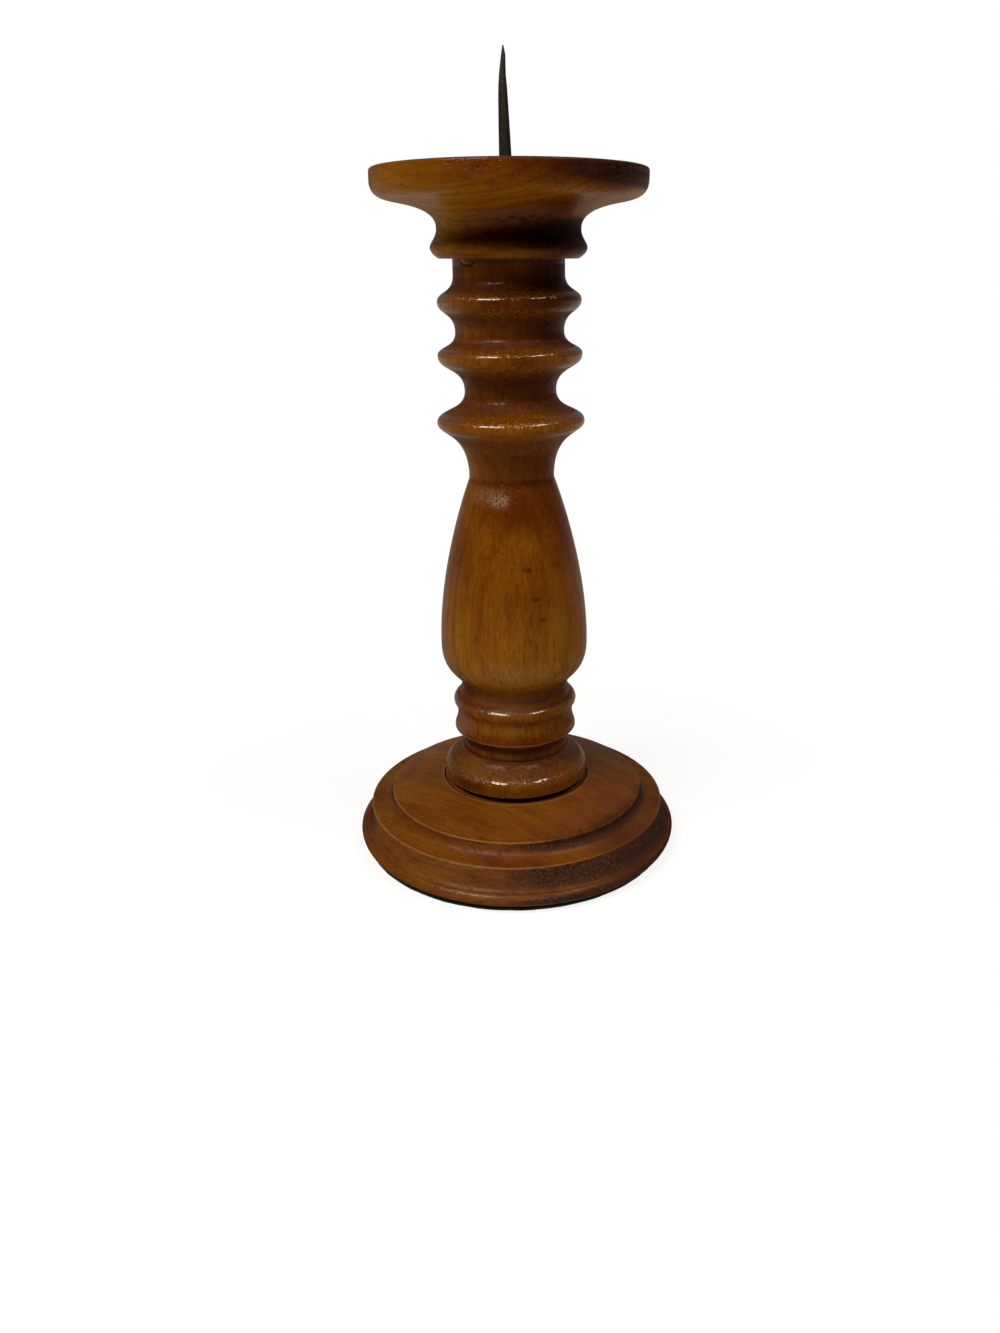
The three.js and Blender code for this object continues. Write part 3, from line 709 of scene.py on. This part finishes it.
PAN_MARKS = (
    # Golden left rim and lip, and a band of painted grey sheen over the neck
    ((-40, -40, 304), (26, 26, 9), OCHRE, 0.35, 1.0),
    ((4, -32, 275), (30, 10, 2.4), OCHRE, 0.3, 1.0),
    ((8, -32, 290), (26, 14, 3.2), PAINTED_GREY_SHEEN, 0.3, 1.0),
    # Row of torn pits above the neck
    ((1.5, -31.4, 288.4), (2.6, 3.0, 0.9), DIRT_AND_SHADE, 0.9, 0.5),
    ((5.8, -31.0, 288.0), (2.4, 3.0, 1.1), DIRT_AND_SHADE, 0.9, 0.5),
    ((9.6, -30.2, 288.8), (2.0, 3.0, 1.0), DIRT_AND_SHADE, 0.9, 0.5),
    ((13.0, -29.0, 288.2), (2.4, 3.0, 1.1), DIRT_AND_SHADE, 0.9, 0.5),
    ((16.2, -27.6, 289.1), (1.8, 3.0, 0.8), DIRT_AND_SHADE, 0.8, 0.5),
    ((-4.5, -31.2, 287.8), (1.8, 3.0, 0.6), DIRT_AND_SHADE, 0.6, 0.5),
)

outline = [point(0, PAN_MORTISE_DEPTH)]
line_to(outline, MORTISE_RADIUS, PAN_MORTISE_DEPTH)
line_to(outline, MORTISE_RADIUS, 0)
line_to(outline, PAN_LIP_RADIUS, 0, 4)
sweep(outline, *PAN_BEAD, 0, 0.55)
sweep(outline, *PAN_NECK, 0.3, 0.5, 16)
curve_to(outline, point(*BELL_LEAVE), point(*BELL_ARRIVE), point(*BELL), 20)
pan_edge = point(PAN_RADIUS, PAN_EDGE_RISE)
curve_to(outline, point(*FLARE_LEAVE), point(PAN_RADIUS, FLARE_ARRIVE_RISE), pan_edge, 16)
line_to(outline, PAN_RADIUS, RIM_RISE - RIM_ROUND, 4)
round_to(outline, point(PAN_RADIUS, RIM_RISE), point(PAN_RADIUS - RIM_ROUND, RIM_RISE))
dish_radius = PAN_RADIUS - RIM_WIDTH
line_to(outline, dish_radius, RIM_RISE, 3)
round_to(outline, point(dish_radius, DISH_FLOOR), point(dish_radius - DISH_COVE_WIDTH, DISH_FLOOR), 10)
line_to(outline, 0, DISH_FLOOR, 10)
work = turn(outline, PAN_SEAM)
bmesh.ops.rotate(
    work, cent=(0, 0, PAN_SEAM * MM), matrix=Matrix.Rotation(PAN_SKEW, 3, "Y"), verts=work.verts[:]
)
pan_wood = turned_wood(
    "pan_plank_wood", grain_turn=(0, 0, PAN_GRAIN), pith=(0, -0.013, -0.22), seed=(3.1, 8.2, 5.7),
    golden_from=0.34, end_from=0.74, end_share=0.92, end_tone=(0.022, 0.005, 0.001), hollow_stain_and_shade=0.8,
    rub_share=0.1, varnish=0, dullness=0.08, shine=0.11, fleck_share=0.08, pore_share=0.35,
    zones=PAN_ZONES, marks=PAN_MARKS,
)
pan = finish_mesh(work, "drip_pan_turning", pan_wood, CRISP_ANGLE)
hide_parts("drip_pan")
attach(pan, "root")


# Spike: a black forged iron nail, square in section, driven up through the pan so
# that its flat head is trapped below. It leans, and its point is hammered to one side.
SHANK_TURN = math.radians(-18)
CORNER_SHARE = 14
HEAD_RADIUS = 5.5
HEAD_THICKNESS = 2.4
HEAD_LEAN, HEAD_HEIGHT = -0.9, 289.9
SCALE_BLACK = (0.006, 0.006, 0.005)
SCALE_GREY = (0.020, 0.019, 0.016)
# A level of the shank has a height, a lean to the right, and the side of its square
SHANK_LEVELS = (
    (291.3, -0.30, 5.27),
    (300.0, -0.45, 4.97),
    (305.9, -0.60, 4.72),
    (315.0, -0.80, 4.29),
    (324.0, -1.05, 3.85),
    (333.0, -1.29, 3.39),
    (338.0, -1.39, 2.99),
    (342.0, -1.42, 2.41),
    (345.4, -1.24, 1.97),
    (349.0, -1.00, 1.53),
    (351.0, -1.02, 0.90),
    (352.4, -1.12, 0.41),
)

iron, tree, shader = start_material("black_forged_iron")
forge_scale = noise_node(tree, object_place(tree), 420, 5, 0.6)
fill_sockets(tree, shader, {
    "Base Color": ramp(tree, forge_scale, (0.35, SCALE_BLACK), (0.7, SCALE_GREY)),
    "Roughness": math_node(tree, "ADD", math_node(tree, "MULTIPLY", forge_scale, 0.3), 0.38),
    "Normal": bump_node(tree, forge_scale, 0.5, 0.4),
    "Metallic": 0.4,
})

work = bmesh.new()
height, lean, side = SHANK_LEVELS[0]
bmesh.ops.create_circle(work, cap_ends=True, segments=4, radius=side * MM / math.sqrt(2))
bmesh.ops.rotate(
    work, cent=(0, 0, 0), matrix=Matrix.Rotation(math.radians(45) + SHANK_TURN, 3, "Z"), verts=work.verts[:]
)
bmesh.ops.translate(work, vec=(lean * MM, 0, height * MM), verts=work.verts[:])
top = work.faces[:]
for level, (next_height, next_lean, next_side) in enumerate(SHANK_LEVELS[1:]):
    grown = bmesh.ops.extrude_face_region(work, geom=top)["geom"]
    ring = verts_in(grown)
    # All but the lowest face would stay behind inside the shank
    if level:
        bmesh.ops.delete(work, geom=top, context="FACES_ONLY")
    top = [face for face in grown if isinstance(face, bmesh.types.BMFace)]
    middle = sum((vert.co for vert in ring), Vector()) / len(ring)
    narrowing = next_side / side
    bmesh.ops.scale(work, vec=(narrowing, narrowing, 1), space=Matrix.Translation(-middle), verts=ring)
    bmesh.ops.translate(work, vec=((next_lean - lean) * MM, 0, next_height * MM - middle.z), verts=ring)
    lean, side = next_lean, next_side
bmesh.ops.recalc_face_normals(work, faces=work.faces[:])
corners = [edge for edge in work.edges if abs(edge.verts[0].co.z - edge.verts[1].co.z) > 0.5 * MM]
bmesh.ops.bevel(
    work, geom=corners, offset=CORNER_SHARE, offset_type="PERCENT", affect="EDGES", segments=2, profile=0.5,
    material=-1,
)
head = bmesh.ops.create_cone(
    work, cap_ends=True, segments=32, radius1=HEAD_RADIUS * MM, radius2=HEAD_RADIUS * MM,
    depth=HEAD_THICKNESS * MM,
)["verts"]
bmesh.ops.translate(work, vec=(HEAD_LEAN * MM, 0, HEAD_HEIGHT * MM), verts=head)
spike = finish_mesh(work, "iron_spike", iron, math.radians(40))
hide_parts("pricket_spike")
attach(spike, "root")


# Floor: a wide pale sheet under the candlestick. The camera sees it white, as the
# photograph's ground is, and it keeps the shadow round the base.
FLOOR_RADIUS = 6
SHADOW_REACH = (0.08, 0.22)
WHITE = (1, 1, 1)
PAPER = (0.80, 0.80, 0.82)
MIRRORED_ROOM = (0.34, 0.28, 0.24)
SHADOW = (0.20, 0.23, 0.27)


def mix_shaders(tree, factor, first, second):
    return add_node(tree, "ShaderNodeMixShader", {0: factor, 1: first, 2: second}).outputs[0]


def emission(tree, colour, strength=1.0):
    return add_node(tree, "ShaderNodeEmission", {"Color": colour, "Strength": strength}).outputs[0]


floor_paper, tree, shader = start_material("pale_floor")
rays = add_node(tree, "ShaderNodeLightPath").outputs
place = object_place(tree)
# To rays other than the camera's the sheet also glows a little, a painted light from below
fill_sockets(tree, shader, {
    "Base Color": opaque(PAPER),
    "Roughness": 0.9,
    "Emission Color": opaque(WHITE),
    "Emission Strength": 0.45,
})
# Glossy rays see on the sheet a painted reflection of a room, dark in front and paler behind
behind = add_node(tree, "ShaderNodeSeparateXYZ", {0: place}).outputs[1]
mirrored = emission(tree, ramp(tree, behind, (0.0, 0.02), (0.35, MIRRORED_ROOM)))
lit = mix_shaders(tree, rays["Is Glossy Ray"], shader.outputs[0], mirrored)
shade = add_node(tree, "ShaderNodeBsdfDiffuse", {"Color": opaque(SHADOW)}).outputs[0]
shaded = add_node(tree, "ShaderNodeAddShader", {0: emission(tree, opaque(WHITE), 0.86), 1: shade}).outputs[0]
far = add_node(tree, "ShaderNodeVectorMath", {0: place}, operation="LENGTH").outputs["Value"]
fade = ramp(tree, far, (SHADOW_REACH[0], 0.0), (SHADOW_REACH[1], 1.0))
ground = mix_shaders(tree, fade, shaded, emission(tree, opaque(WHITE)))
seen = mix_shaders(tree, rays["Is Camera Ray"], lit, ground)
tree.links.new(seen, tree.nodes["Material Output"].inputs["Surface"])
work = bmesh.new()
bmesh.ops.create_circle(work, cap_ends=True, segments=64, radius=FLOOR_RADIUS)
floor = finish_mesh(work, "floor", floor_paper, math.radians(30))


# Light: two soft lamps high in front, one to the left and one to the right, which
# draw the pair of highlights on every ring, in a dim room with a paler far side.
LAMP_DISTANCE = 1.2
LAMP_AIM = Vector((0, 0, 0.15))
LAMP_COLOUR = (1.0, 0.82, 0.62)
ROOM_DARK = (0.012, 0.012, 0.013)
ROOM_PALE = (0.16, 0.14, 0.13)


def soft_lamp(name, azimuth, elevation, width, height, power):
    lamp = bpy.data.lights.new(name, "AREA")
    lamp.shape = "RECTANGLE"
    lamp.size, lamp.size_y = width, height
    lamp.energy = power
    lamp.color = LAMP_COLOUR
    above = math.radians(elevation)
    toward = Vector(at_azimuth(math.cos(above), azimuth, math.sin(above)))
    holder = bpy.data.objects.new(name, lamp)
    holder.location = LAMP_AIM + toward * LAMP_DISTANCE
    holder.rotation_euler = toward.to_track_quat("Z", "Y").to_euler()
    bpy.context.scene.collection.objects.link(holder)


soft_lamp("left_lamp", -42, 52, 0.56, 0.34, 10.6)
soft_lamp("right_lamp", 62, 56, 0.42, 0.22, 4.5)

room = bpy.data.worlds.new("dim_room")
room.use_nodes = True
tree = room.node_tree
direction = add_node(tree, "ShaderNodeTexCoord").outputs["Generated"]
away = add_node(tree, "ShaderNodeSeparateXYZ", {0: direction}).outputs
behind = math_node(tree, "SUBTRACT", away[1], math_node(tree, "MULTIPLY", away[0], 0.1))
behind = math_node(tree, "ADD", math_node(tree, "MULTIPLY", behind, 0.5), 0.5)
low = math_node(tree, "SUBTRACT", 1.0, math_node(tree, "ABSOLUTE", away[2]))
dim = ramp(tree, behind, (0.46, ROOM_DARK), (0.92, ROOM_PALE))
dim = blend_colour(tree, "MULTIPLY", 1.0, dim, ramp(tree, low, (0.1, 0.2), (0.75, 1.0)))
rays = add_node(tree, "ShaderNodeLightPath").outputs
seen = blend_colour(tree, "MIX", rays["Is Camera Ray"], dim, WHITE)
tree.links.new(seen, tree.nodes["Background"].inputs["Color"])
bpy.context.scene.world = room
bpy.context.scene.view_settings.view_transform = "Standard"


# Camera: a phone held about half a metre away, a little above the rings and tipped
# down, with the photograph's own tilt. Its lens was fitted to the turned ellipses.
PHOTO_HEIGHT = 1333
FOCAL_PIXELS = 1043
SENSOR_HEIGHT = 36
CAMERA_PLACE = (0, -0.4735, 0.2713)
CAMERA_YAW = math.radians(0.85)
CAMERA_DIP = math.radians(21.07)
CAMERA_ROLL = math.radians(-1.13)

lens = bpy.data.cameras.new("phone")
lens.sensor_fit = "VERTICAL"
lens.sensor_height = SENSOR_HEIGHT
lens.lens = FOCAL_PIXELS / PHOTO_HEIGHT * SENSOR_HEIGHT
lens.clip_start = 0.01
camera = bpy.data.objects.new("phone", lens)
camera.matrix_world = (
    Matrix.Translation(CAMERA_PLACE)
    @ Matrix.Rotation(CAMERA_YAW, 4, "Z")
    @ Matrix.Rotation(math.radians(90) - CAMERA_DIP, 4, "X")
    @ Matrix.Rotation(CAMERA_ROLL, 4, "Z")
)
bpy.context.scene.collection.objects.link(camera)
bpy.context.scene.camera = camera
